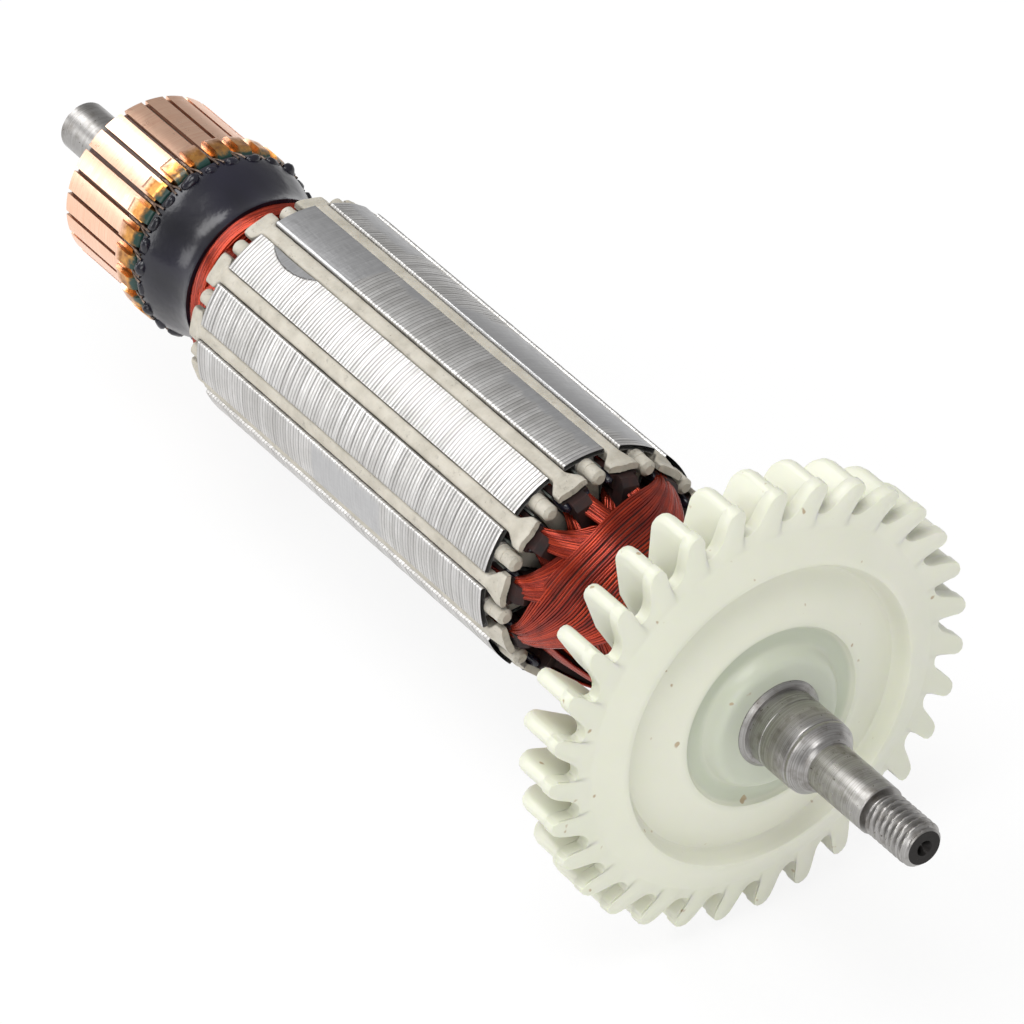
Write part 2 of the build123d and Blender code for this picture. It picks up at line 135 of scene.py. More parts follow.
floor_level = cad_low.z - floor_gap
floor_points = floor_half * np.array([(-1, -1, 0), (1, -1, 0), (1, 1, 0), (-1, 1, 0)], float)
floor_points[:, 2] = floor_level
floor = mesh_object("floor", floor_points, np.array([(0, 1, 2, 3)]))
paper = bpy.data.materials.new("floor_paper")
paper.use_nodes = True
paper.node_tree.nodes.clear()
matte = add_node(paper, "ShaderNodeBsdfDiffuse", {"Color": floor_white})
white = add_node(paper, "ShaderNodeEmission", {"Color": (1, 1, 1, 1), "Strength": 1.0})
ray = add_node(paper, "ShaderNodeLightPath")
mirrored = reckon(paper, "MULTIPLY", ray.outputs["Is Glossy Ray"], mirrored_share)
seen = reckon(paper, "MAXIMUM", ray.outputs["Is Camera Ray"], mirrored)
seen = reckon(paper, "MAXIMUM", seen, ray.outputs["Is Transmission Ray"])
share = reckon(paper, "MULTIPLY", seen, floor_glow)
mixed = add_node(
    paper, "ShaderNodeMixShader", {0: share, 1: matte.outputs[0], 2: white.outputs[0]}
)
add_node(paper, "ShaderNodeOutputMaterial", {"Surface": mixed.outputs[0]})
floor.data.materials.append(paper)

world = bpy.data.worlds.new("studio_air")
world.use_nodes = True
world.node_tree.nodes["Background"].inputs["Color"].default_value = sky_color
world.node_tree.nodes["Background"].inputs["Strength"].default_value = sky_strength
bpy.context.scene.world = world
bpy.context.scene.view_settings.view_transform = "Standard"

for name, (place, width, height, power) in lamps.items():
    lamp_data = bpy.data.lights.new(name, "AREA")
    lamp_data.shape = "RECTANGLE"
    lamp_data.size = width
    lamp_data.size_y = height
    lamp_data.energy = power
    lamp = bpy.data.objects.new(name, lamp_data)
    lamp.rotation_mode = "QUATERNION"
    lamp.location = place
    lamp.rotation_quaternion = (lamp_aim - Vector(place)).to_track_quat("-Z", "Y")
    bpy.context.scene.collection.objects.link(lamp)

# Shaft.  One steel bar, turned and ground: journal, seats for the bearing and the pinion, and
# a rolled thread with a centre drilling in its end.  Everything else is pressed on it.
mm = 0.001
shaft_low, shaft_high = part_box("shaft")
shaft_rear = shaft_low.x / mm
thread_end = shaft_high.x / mm
journal_radius = 3.5
commutator_seat_start = -139.5
commutator_seat_end = -123.9
commutator_seat_radius = 4.2
shaft_radius = 5.3
bearing_seat_radius = 5.0
bearing_seat_end = 7.0
ring_end = 7.75
ring_radius = 4.93
shoulder_turn_radius = 4.35
shoulder_turn_place = 8.35
shoulder_foot_radius = 3.9
gear_seat_start = 9.3
gear_seat_radius = 3.25
gear_seat_end = 19.7
relief_end = 20.2
thread_radius = 3.0
thread_depth = 0.58
thread_pitch = 1.0
thread_crest = 0.14
edge_break = 0.12
end_chamfer = 0.75
centre_radius = 1.05
centre_pilot_radius = 0.42
centre_depth = 1.5
ring_line_place = 2.4
ring_line_depth = 0.06
ring_line_width = 0.22
ring_line_slope = 0.05
end_flat_width = 0.75
turn_step = 0.07
run_in_length = 0.4
tip_rings = 8
end_shade_run = (-0.08, -0.02)
shaft_sides = 96


def grid_faces(rows, columns, around=True):
    """Faces of a grid of points, row after row; the last column meets the first one if around."""
    row, column = np.meshgrid(
        np.arange(rows - 1), np.arange(columns if around else columns - 1), indexing="ij"
    )
    after = (column + 1) % columns
    first = row * columns
    second = first + columns
    return np.stack(
        [first + column, first + after, second + after, second + column], axis=-1
    ).reshape(-1, 4)


def around_axis(x, radius, angle, side=0.0):
    """Points at places along the axis, turned round it by an angle; side is the way off the
    radius, square to it: y = radius cos - side sin, and z = radius sin + side cos."""
    y = radius * np.cos(angle) - side * np.sin(angle)
    z = radius * np.sin(angle) + side * np.cos(angle)
    return np.stack([np.broadcast_to(x, y.shape), y, z], axis=-1)


def turned_points(places, radii, sides):
    """Points of a turned surface: each place on the axis with its radius, at equal angles."""
    angle = np.linspace(0, 2 * np.pi, sides, endpoint=False)
    radii = np.asarray(radii, float).reshape(len(radii), -1)
    return around_axis(np.asarray(places)[:, None], radii, angle[None, :]).reshape(-1, 3)


def thread_drop(place, angle):
    """How deep the thread's groove is: along one pitch, which moves on with the angle, a V of
    about 60 degrees between flat crests, with a root as flat as they are."""
    share = (place / thread_pitch - angle / (2 * np.pi)) % 1.0
    from_root = np.abs(share - 0.5) * 2
    rise = np.clip((from_root - thread_crest) / (1 - 2 * thread_crest), 0, 1)
    return thread_depth * (1 - rise)


line_start = ring_line_place - ring_line_width / 2
line_end = ring_line_place + ring_line_width / 2
shaft_profile = [
    (shaft_rear + centre_depth + centre_pilot_radius, 0.0),
    (shaft_rear + centre_depth, centre_pilot_radius),
    (shaft_rear, centre_radius),
    (shaft_rear, journal_radius - end_chamfer),
    (shaft_rear + end_chamfer, journal_radius),
    (commutator_seat_start, journal_radius),
    (commutator_seat_start, commutator_seat_radius),
    (commutator_seat_end, commutator_seat_radius),
    (commutator_seat_end, shaft_radius),
    (0.0, shaft_radius),
    (0.0, bearing_seat_radius),
    (line_start - ring_line_slope, bearing_seat_radius),
    (line_start, bearing_seat_radius - ring_line_depth),
    (line_end, bearing_seat_radius - ring_line_depth),
    (line_end + ring_line_slope, bearing_seat_radius),
    (bearing_seat_end - edge_break, bearing_seat_radius),
    (bearing_seat_end, bearing_seat_radius - ring_line_depth),
    (bearing_seat_end + edge_break, ring_radius - 2 * ring_line_depth),
    (bearing_seat_end + 2 * edge_break, ring_radius),
    (ring_end - edge_break, ring_radius),
    (ring_end + edge_break, ring_radius - 2 * edge_break),
    (shoulder_turn_place, shoulder_turn_radius),
    (gear_seat_start - 3 * edge_break, shoulder_foot_radius),
    (gear_seat_start - edge_break, shoulder_foot_radius - edge_break),
    (gear_seat_start, gear_seat_radius + 3 * edge_break),
    (gear_seat_start + 2 * edge_break, gear_seat_radius),
    (gear_seat_end - edge_break, gear_seat_radius),
    (gear_seat_end, gear_seat_radius - edge_break),
    (gear_seat_end + 0.02, thread_radius - thread_depth),
    (relief_end, thread_radius - thread_depth),
]
thread_places = np.arange(relief_end + 0.05, thread_end - end_chamfer, turn_step)
angle = np.linspace(0, 2 * np.pi, shaft_sides, endpoint=False)
drop = thread_drop(thread_places[:, None], angle[None, :])
run_in = np.clip((thread_places - relief_end) / run_in_length, 0, 1)[:, None]
thread_radii = thread_radius - thread_depth + (thread_depth - drop) * run_in
tip_places = np.linspace(thread_end - end_chamfer, thread_end, tip_rings)
tip_limit = np.linspace(thread_radius, thread_radius - end_chamfer, tip_rings)[:, None]
tip_radii = thread_radius - thread_drop(tip_places[:, None], angle[None, :])
tip_radii = np.minimum(tip_radii, tip_limit)
end_profile = [
    (thread_end, centre_radius + end_flat_width),
    (thread_end, centre_radius),
    (thread_end - centre_depth * 0.6, centre_pilot_radius),
    (thread_end - centre_depth, 0.0),
]
profile = np.array(shaft_profile)
end = np.array(end_profile)
shaft_points = np.concatenate(
    [
        turned_points(profile[:, 0], profile[:, 1], shaft_sides),
        turned_points(thread_places, thread_radii, shaft_sides),
        turned_points(tip_places, tip_radii, shaft_sides),
        turned_points(end[:, 0], end[:, 1], shaft_sides),
    ]
)
shaft_rows = len(shaft_points) // shaft_sides
shaft_faces = grid_faces(shaft_rows, shaft_sides)
shaft = mesh_object("turned_shaft", shaft_points * mm, shaft_faces[:, ::-1])


def weld(thing):
    """Join points that lie in one place, which closes seams and poles."""
    made = bmesh.new()
    made.from_mesh(thing.data)
    bmesh.ops.remove_doubles(made, verts=made.verts, dist=1e-7)
    made.to_mesh(thing.data)
    made.free()


weld(shaft)


def shade_by_angle(thing, degrees):
    """Keep edges that are sharper than an angle sharp, and the rest smooth."""
    thing.data.set_sharp_from_angle(angle=math.radians(degrees))


def start_material(name):
    """A new node material without nodes, and the Object coordinates for its patterns."""
    material = bpy.data.materials.new(name)
    material.use_nodes = True
    material.node_tree.nodes.clear()
    return material, add_node(material, "ShaderNodeTexCoord").outputs["Object"]


def along_axis(material, place):
    """Part of a place along the armature's axis."""
    return add_node(material, "ShaderNodeSeparateXYZ", {"Vector": place}).outputs["X"]


def stretched(material, place, scale):
    """Object coordinates scaled apart along the three axes."""
    return add_node(
        material, "ShaderNodeMapping", {"Vector": place, "Scale": scale}
    ).outputs["Vector"]


def noise(material, place, scale, detail=4.0, roughness=0.55):
    """Value between 0 and 1 of a noise pattern."""
    return add_node(
        material,
        "ShaderNodeTexNoise",
        {"Vector": place, "Scale": scale, "Detail": detail, "Roughness": roughness},
    ).outputs["Fac"]


def spread(material, value, low, high, to_low=0.0, to_high=1.0):
    """Stretch a value from one range to another, cut off at both ends."""
    return add_node(
        material,
        "ShaderNodeMapRange",
        {
            "Value": value,
            "From Min": low,
            "From Max": high,
            "To Min": to_low,
            "To Max": to_high,
        },
    ).outputs["Result"]


def mixed_color(material, share, first, second):
    """Colour between two others; each may be a plain colour or a socket."""
    node = add_node(material, "ShaderNodeMix", data_type="RGBA")
    sockets = (node.inputs[0], node.inputs[6], node.inputs[7])
    for socket, value in zip(sockets, (share, first, second)):
        if isinstance(value, bpy.types.NodeSocket):
            material.node_tree.links.new(value, socket)
        else:
            socket.default_value = value if isinstance(value, float) else (*value, 1.0)
    return node.outputs[2]


def finish_material(material, **values):
    """Join a principled shader to the output; each keyword is the name of one of its sockets."""
    links = {name.replace("_", " ").title(): value for name, value in values.items()}
    shader = add_node(material, "ShaderNodeBsdfPrincipled", links)
    add_node(material, "ShaderNodeOutputMaterial", {"Surface": shader.outputs[0]})
    return material


def bump(material, height, strength, distance):
    """Normal of a fine relief."""
    return add_node(
        material,
        "ShaderNodeBump",
        {"Height": height, "Strength": strength, "Distance": distance},
    ).outputs["Normal"]


def axis_distance(material, place):
    """Distance of a place from the axis."""
    flat = stretched(material, place, (0.0, 1.0, 1.0))
    length = add_node(material, "ShaderNodeVectorMath", {0: flat}, operation="LENGTH")
    return length.outputs["Value"]


def turned_steel():
    """Grey steel with fine rings from the tool, duller clouded places and dark specks; the end
    face of the thread and its centre drilling are painted nearly black as painted shade."""
    material, place = start_material("turned_steel")
    rings = noise(material, stretched(material, place, (9000, 60, 60)), 1.0, 2.0)
    clouds = noise(material, place, 420.0, 5.0)
    specks = noise(material, place, 2600.0, 2.0)
    tone = spread(material, rings, 0.35, 0.65)
    color = mixed_color(material, tone, (0.27, 0.26, 0.25), (0.42, 0.41, 0.40))
    dull = spread(material, clouds, 0.52, 0.72)
    color = mixed_color(material, dull, color, (0.20, 0.185, 0.17))
    marks = spread(material, specks, 0.68, 0.74)
    color = mixed_color(material, marks, color, (0.10, 0.085, 0.075))
    along = along_axis(material, place)
    from_axis = axis_distance(material, place)
    shade_start, shade_end = ((thread_end + step) * mm for step in end_shade_run)
    # Painted shade: the thread's end face and its centre drilling are painted nearly black.
    near_end = spread(material, along, shade_start, shade_end)
    in_centre = spread(
        material, from_axis, centre_radius * mm, (centre_radius + 0.1) * mm, 1.0, 0.0
    )
    end_face_shade = reckon(material, "MAXIMUM", near_end, in_centre)
    color = mixed_color(material, end_face_shade, color, (0.030, 0.028, 0.027))
    rough = spread(material, clouds, 0.3, 0.7, 0.26, 0.44)
    return finish_material(
        material,
        base_color=color,
        metallic=0.97,
        roughness=rough,
        normal=bump(material, rings, 0.07, 0.00003),
    )


shade_by_angle(shaft, 35)
steel = turned_steel()
shaft.data.materials.append(steel)
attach(shaft, "root")
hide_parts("shaft")

# Fan bush.  A turned steel ring that the fan is moulded on and that is pressed on the shaft;
# its rim stands a little out of the fan, as a stop for the bearing.


def dress(node, material):
    """Give a CAD node its finish."""
    nodes[node].data.materials.clear()
    nodes[node].data.materials.append(material)


dress("fan_bush", steel)

# Insulating sleeve.  A brown moulded tube, pressed between the shaft and the core, so that no
# current reaches the shaft; it is seen only past the winding.


def sleeve_plastic():
    """Brown moulded plastic with faint flow marks."""
    material, place = start_material("insulating_tube")
    flow = noise(material, place, 300.0, 4.0)
    tone = spread(material, flow, 0.3, 0.7)
    color = mixed_color(material, tone, (0.16, 0.10, 0.07), (0.30, 0.21, 0.15))
    return finish_material(material, base_color=color, roughness=0.45)


dress("shaft_insulation_sleeve", sleeve_plastic())

# Laminated core.  Steel sheets pressed together, with 12 teeth; each sheet's edge shows as a
# bright line between dark gaps.  Parts of some teeth were ground, which smears the sheets.
core_low, core_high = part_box("lamination_stack")
core_rear = core_low.x / mm
core_front = core_high.x / mm
core_radius = 16.0
sheet_count = 109
sheet_unevenness = 0.008
sheet_corner_depth = 0.12
tooth_count = 12
tooth_pitch = 360 / tooth_count
tooth_half_turn = 10.85
arc_columns = 15
groove_share = 0.2
groove_depth = 0.06
gap_depths = (0.45, 1.15)
end_gap_depth = 0.2
end_opening = 0.9
end_opening_reach = 2.5
flank_groove_share = 0.3
lip_radius = 15.25
lip_rounding = 0.12
lip_turn = 1e-4
cut_tooth = 4
cut_arc_columns = 49
cut_radius = 27.0
cut_bottom = 15.05
cut_turn = 95.0
cut_middle = 7.75
cut_edge = -3.5
cut_rim_depth = 0.07
cut_clear = 0.02


def tooth_skin(tooth, seed):
    """Outer face of one tooth: sheet after sheet along the axis, each a low crown between two
    grooves, and round the axis an arc with a rounded corner and a short flank each side.  The
    grooves end where the tooth is ground, and the face is no higher than the balancing cut."""
    chance = np.random.default_rng(seed)
    edges = np.linspace(core_rear, core_front, sheet_count + 1)
    pitch = edges[1] - edges[0]
    shares = np.array([0.0, groove_share / 2, 0.5, 1 - groove_share / 2])
    places = (edges[:-1, None] + pitch * shares[None, :]).ravel()
    depth = np.tile([1.0, sheet_corner_depth, 0.0, sheet_corner_depth], sheet_count)
    sheet = np.repeat(np.arange(sheet_count), 4)
    nearness = np.minimum(places - core_rear, core_front - places)
    opening = 1.0 + end_opening * np.exp(-nearness / end_opening_reach)
    gap_depth = chance.uniform(*gap_depths, sheet_count)[sheet] * opening
    height = chance.normal(0, sheet_unevenness, sheet_count)[sheet]
    places = np.append(places, core_front)
    depth = np.append(depth, 1.0)
    gap_depth = np.append(gap_depth, end_gap_depth)
    height = np.append(height, 0.0)
    tone = np.append(chance.uniform(0, 1, sheet_count)[sheet], 0.5)
    half = math.radians(tooth_half_turn)
    arc = np.linspace(-half, half, arc_columns if tooth != cut_tooth else cut_arc_columns)
    round_turn = lip_rounding / core_radius
    corner = half + np.array([lip_turn, -round_turn * 0.1, -round_turn])
    turns = np.concatenate([-corner, arc[1:-1], corner[::-1]])
    radii = np.full(len(turns), core_radius)
    radii[0] = radii[-1] = lip_radius
    radii[1] = radii[-2] = core_radius - lip_rounding
    angle = turns[None, :] + math.radians(tooth * tooth_pitch)
    limit = cut_limit(tooth, places[:, None], np.degrees(turns)[None, :])
    smear = ground_share(tooth, places[:, None], np.degrees(turns)[None, :])
    in_cut = limit < core_radius - cut_clear
    smear = np.maximum(smear, in_cut)
    sunk = groove_depth * (depth * gap_depth)[:, None] * (1 - smear)
    sunk[:, :3] *= flank_groove_share
    sunk[:, -3:] *= flank_groove_share
    radius = radii[None, :] - sunk + height[:, None] * (1 - smear)
    radius = np.minimum(radius, limit)
    points = around_axis(places[:, None], radius, angle)
    shade = (1 - depth)[:, None] * (1 - smear) + smear
    # Painted shade: a dark line along the rim of the balancing cut.
    shade = shade * (1 - in_cut * (limit > core_radius - cut_rim_depth))
    tones = np.broadcast_to(tone[:, None], radius.shape) * (1 - smear) + 0.5 * smear
    return points.reshape(-1, 3), radius.shape, shade.ravel(), tones.ravel(), smear.ravel()


def soft_step(value, low, high):
    """0 below low, 1 above high and a smooth rise between them."""
    share = np.clip((value - low) / (high - low), 0, 1)
    return share * share * (3 - 2 * share)


def inside(value, low, high, edge):
    """1 between two limits and 0 outside them, with soft edges."""
    rise = soft_step(value, low - edge, low + edge)
    return rise * (1 - soft_step(value, high - edge, high + edge))


def ground_share(tooth, place, degrees):
    """How far the sheets of a tooth are smeared over by grinding: for each ground tooth, patches
    between two places along it and two angles across it, in mm and degrees, with wavy edges."""
    along = place - core_rear
    wave = 0.5 * np.sin(along * 1.7 + tooth) + 0.35 * np.sin(along * 4.1)
    none = np.zeros(np.broadcast_shapes(place.shape, degrees.shape))
    if tooth == 3:
        rear = inside(along + wave + 0.12 * degrees, -3, 17, 0.5)
        front = inside(along, 44, 62.2, 1.2) * inside(degrees + wave, -11.5, -4.5, 0.8)
        middle = inside(along, 20, 26, 1.5) * inside(degrees + wave, -11.5, -6.5, 1.0)
        return np.maximum(np.maximum(rear, front), middle) + none
    if tooth == 2:
        rear = inside(along + wave, -3, 14, 1.2) * inside(degrees, -20, 2 + wave, 1.5)
        front = inside(along + wave + 0.4 * degrees, 30, 61.8, 1.5)
        return np.maximum(rear, front) * 0.92 + none
    if tooth == 6:
        patch = inside(along + wave, 26, 41, 1.0) * inside(degrees + wave, -9, 11.5, 1.0)
        return patch * 0.9 + none
    if tooth in (0, 8, 10):
        return inside(along + wave * 2, 12 + tooth, 30 + tooth, 1.5) * 0.85 + none
    return none


def cut_limit(tooth, place, degrees):
    """Height of the balancing cut's floor: the arc of a large mill along the tooth, flat across
    it, on the side of the tooth that lies before the cut's edge; elsewhere nothing limits."""
    none = np.full(np.broadcast_shapes(place.shape, degrees.shape), 99.0)
    if tooth != cut_tooth:
        return none
    along = place - core_rear - cut_middle
    floor = cut_bottom + cut_radius - np.sqrt(np.maximum(cut_radius**2 - along**2, 0))
    lean = np.radians(degrees + tooth * tooth_pitch - cut_turn)
    return np.where(degrees < cut_edge, floor / np.cos(lean), none)


def point_value(material, name):
    """A number that the mesh keeps for each point."""
    return add_node(material, "ShaderNodeAttribute", attribute_name=name).outputs["Fac"]


def core_steel():
    """Edges of electrical sheet: bright crowns, dark oily gaps, smooth grey ground places, and
    a line of painted shade round the balancing cut.
    """
    material, place = start_material("lamination_steel")
    crown = point_value(material, "crown")
    tone = point_value(material, "tone")
    ground = point_value(material, "ground")
    clouds = noise(material, place, 260.0, 5.0)
    hair = noise(material, stretched(material, place, (500, 5000, 5000)), 1.0, 3.0)
    scores = noise(material, stretched(material, place, (7000, 300, 300)), 1.0, 3.0)
    bright = mixed_color(material, tone, (0.52, 0.51, 0.50), (0.70, 0.69, 0.68))
    dull = spread(material, clouds, 0.35, 0.75, 0.0, 0.6)
    bright = mixed_color(material, dull, bright, (0.45, 0.44, 0.42))
    streak = spread(material, scores, 0.3, 0.7)
    smooth = mixed_color(material, streak, (0.42, 0.42, 0.425), (0.53, 0.53, 0.535))
    color = mixed_color(material, ground, bright, smooth)
    # The dark gap colour also paints shade along the rim of the balancing cut.
    gap = spread(material, crown, 0.1, 0.8)
    color = mixed_color(material, gap, (0.17, 0.16, 0.15), color)
    rough = spread(material, hair, 0.3, 0.7, 0.32, 0.50)
    return finish_material(
        material,
        base_color=color,
        metallic=0.92,
        roughness=rough,
        normal=bump(material, hair, 0.12, 0.00003),
    )


def keep_values(thing, **values):
    """Store one number for each point, for a material to read."""
    for name, numbers in values.items():
        attribute = thing.data.attributes.new(name, "FLOAT", "POINT")
        attribute.data.foreach_set("value", np.ascontiguousarray(numbers, dtype=np.float32))


sheet_steel = core_steel()
for tooth in range(tooth_count):
    points, shape, crowns, tones, smears = tooth_skin(tooth, 100 + tooth)
    faces = grid_faces(*shape, around=False)
    skin = mesh_object(f"core_tooth_{tooth + 1:02d}", points * mm, faces)
    keep_values(skin, crown=crowns, tone=tones, ground=smears)
    skin.data.materials.append(sheet_steel)
    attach(skin, "root")

# Core body.  The same sheets seen from their ends and in the slots: the solid of the frame,
# drawn in a little under the skins of the teeth.
skin_room = 0.66
body_values = {"crown": 0.7, "tone": 0.2, "ground": 0.4}


def merged_copy(node, name):
    """Copy of a CAD node's mesh with its loose triangles joined."""
    made = bmesh.new()
    made.from_mesh(nodes[node].data)
    bmesh.ops.remove_doubles(made, verts=made.verts, dist=1e-6)
    mesh = bpy.data.meshes.new(name)
    made.to_mesh(mesh)
    made.free()
    thing = bpy.data.objects.new(name, mesh)
    bpy.context.scene.collection.objects.link(thing)
    return thing


body = merged_copy("lamination_stack", "core_body")
count = len(body.data.vertices)
flat = np.zeros(count * 3, np.float32)
body.data.vertices.foreach_get("co", flat)
points = flat.reshape(-1, 3) / mm
radius = np.hypot(points[:, 1], points[:, 2])
points[:, 1:] *= (np.minimum(radius, core_radius - skin_room) / radius)[:, None]
body.data.vertices.foreach_set("co", (points * mm).astype(np.float32).ravel())
keep_values(body, **{name: np.full(count, value) for name, value in body_values.items()})
body.data.materials.clear()
body.data.materials.append(sheet_steel)
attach(body, "root")
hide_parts("lamination_stack")

# Slot liners.  Dark insulating film, folded into each slot before winding; its edge shows at
# the mouths, stained by resin.


def liner_film():
    """Grey-green film with cloudy resin stains."""
    material, place = start_material("liner_film")
    clouds = noise(material, place, 700.0, 5.0)
    tone = spread(material, clouds, 0.35, 0.65)
    color = mixed_color(material, tone, (0.05, 0.055, 0.05), (0.20, 0.22, 0.20))
    return finish_material(material, base_color=color, roughness=0.38)


dress("slot_liners", liner_film())

# End insulators and slot wedges.  Moulded cream nylon: a finger stands on every tooth, and a
# strip with a cross-head at each end closes every slot.


def cream_nylon():
    """Cream plastic with clouds of grey dust, painted shade along the strips' rims, grime, specks
    and a fuzzy skin.
    """
    material, place = start_material("cream_nylon")
    clouds = noise(material, place, 330.0, 6.0, 0.65)
    specks = noise(material, place, 3100.0, 2.0)
    fuzz = noise(material, place, 5200.0, 3.0)
    dust = spread(material, clouds, 0.38, 0.70)
    color = mixed_color(material, dust, (0.56, 0.525, 0.45), (0.41, 0.38, 0.315))
    # Painted shade: the strips' rims are darkened in patches where they meet the teeth.
    edge_shade = reckon(material, "MULTIPLY", point_value(material, "rim"), clouds)
    color = mixed_color(material, spread(material, edge_shade, 0.3, 0.6), color, (0.16, 0.145, 0.12))
    grime = spread(material, noise(material, place, 800.0, 4.0, 0.7), 0.60, 0.72, 0.0, 0.6)
    color = mixed_color(material, grime, color, (0.22, 0.20, 0.17))
    specks = spread(material, specks, 0.69, 0.76, 0.0, 0.85)
    color = mixed_color(material, specks, color, (0.13, 0.11, 0.09))
    return finish_material(
        material,
        base_color=color,
        roughness=0.62,
        subsurface_weight=0.12,
        subsurface_radius=(0.0008, 0.0006, 0.0004),
        normal=bump(material, fuzz, 0.35, 0.00006),
    )


nylon = cream_nylon()
dress("front_end_insulator", nylon)
dress("rear_end_insulator", nylon)
wedge_low, wedge_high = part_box("slot_wedge_01")
wedge_rear = wedge_low.x / mm
wedge_front = wedge_high.x / mm
wedge_foot_radius = 14.3
wedge_half_width = 1.02
wedge_top_radius = 15.72
wedge_head_half = 2.2
wedge_head_top = 15.25
wedge_crown = 0.35
wedge_unevenness = 0.012
wedge_roughness = 0.006
wander_limit = 0.06
rear_flare_run = (0.0, 1.5)
front_flare_run = (0.2, 2.0)
tear_run = (2.6, 4.0)
tear_scatter = 0.10
tear_wave = 0.35
tear_shift = -0.2
end_narrowing = 0.98


def wedge_surface(slot, seed):
    """One strip: across it a low crown between two upright flanks, and along it a narrow run
    that flares into a lower cross-head past each end of the core; the front end is torn.  The
    rim value, which the material darkens as painted shade, rises with the eighth power of the way
    across."""
    chance = np.random.default_rng(seed)
    along = np.concatenate(
        [
            np.linspace(wedge_rear, core_rear + 0.3, 18),
            np.linspace(core_rear + 0.8, core_front - 0.8, 70),
            np.linspace(core_front - 0.3, wedge_front, 26),
        ]
    )
    across = np.linspace(-1, 1, 17)
    past_rear = np.maximum(core_rear - along, 0)
    past_front = np.maximum(along - core_front, 0)
    flare = soft_step(past_rear, *rear_flare_run) + soft_step(past_front, *front_flare_run)
    half = wedge_half_width + (wedge_head_half - wedge_half_width) * flare
    wander = np.cumsum(chance.normal(0, wedge_unevenness, len(along)))
    wander -= np.linspace(wander[0], wander[-1], len(along))
    half = half * (1 + 0.5 * np.clip(wander, -wander_limit, wander_limit) * (1 - flare))
    top = wedge_top_radius + (wedge_head_top - wedge_top_radius) * flare
    top = top + chance.normal(0, wedge_unevenness, len(along))
    crown = (1 - across**6) * wedge_crown - wedge_crown
    side = across[None, :] * half[:, None]
    height = top[:, None] + crown[None, :]
    height = height + chance.normal(0, wedge_roughness, (len(along), len(across)))
    tear = chance.normal(0, tear_scatter, len(across)) + tear_shift
    tear = tear + tear_wave * np.sin(across * 4 + seed)
    x = along[:, None] + soft_step(past_front, *tear_run)[:, None] * tear[None, :]
    foot = np.full((len(along), 1), wedge_foot_radius)
    side = np.concatenate([side[:, :1], side, side[:, -1:]], axis=1)
    height = np.concatenate([foot, height, foot], axis=1)
    x = np.concatenate([x[:, :1], x, x[:, -1:]], axis=1)
    side = np.concatenate([side[:1] * end_narrowing, side, side[-1:] * end_narrowing])
    end_foot = np.full_like(height[:1], wedge_foot_radius)
    height = np.concatenate([end_foot, height, end_foot])
    x = np.concatenate([x[:1], x, x[-1:]])
    turn = math.radians((slot + 0.5) * tooth_pitch)
    points = around_axis(x, height, turn, side)
    rim = np.abs(np.concatenate([[1], across, [1]]))[None, :] ** 8 * np.ones(x.shape)
    return points.reshape(-1, 3), x.shape, rim.ravel()


for slot in range(tooth_count):
    points, shape, rims = wedge_surface(slot, 300 + slot)
    faces = grid_faces(*shape, around=False)
    strip = mesh_object(f"wedge_strip_{slot + 1:02d}", points * mm, faces)
    keep_values(strip, rim=rims)
    strip.data.materials.append(nylon)
    shade_by_angle(strip, 50)
    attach(strip, "root")
    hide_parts(f"slot_wedge_{slot + 1:02d}")

# Winding.  Twelve coils of enamelled wire, wound in pairs; each runs through two slots and
# fans out into a ribbon over the end of the core, on top of the coils wound before it.  The
# frame's solids stay as the bulk of the coils, painted nearly black as painted shade in the gaps
# between the outer wires, which lie on them side by side.
wire_radius = 0.19
wires_across = 28
wires_below = 2
wire_sides = 5
head_points = 34
coil_count = 12
coil_span = 5
first_slot = 2
bottom_side_radius = 10.45
top_side_radius = 12.9
side_reach = 1.1
head_foot_radius = 6.23
first_leg_place = 1.28
leg_gap = 0.08
ribbon_turn = 45.0
ribbon_power = 1.6
wire_scatter = 0.05
wire_rise = 0.3
side_scatter = (-0.2, 0.1)
sink_turns = (3.0, 18.0)
sink_run = 4.5
mouth_width = 9.0
mouth_turn = 12.0
slot_steps = (-2.0, 0.6)
smoothing_rounds = 4
pair_count = coil_count // 2
# For each end of the core: width of a leg, place of the ribbon's near edge, and the places and
# radii of the head's outline.
front_head = (1.8, 8.5, (5.2, 12.0, 19.0), (12.8, 11.9, 9.6))
rear_head = (1.3, 6.6, (5.7, 9.4, 12.3), (12.3, 10.8, 9.1))


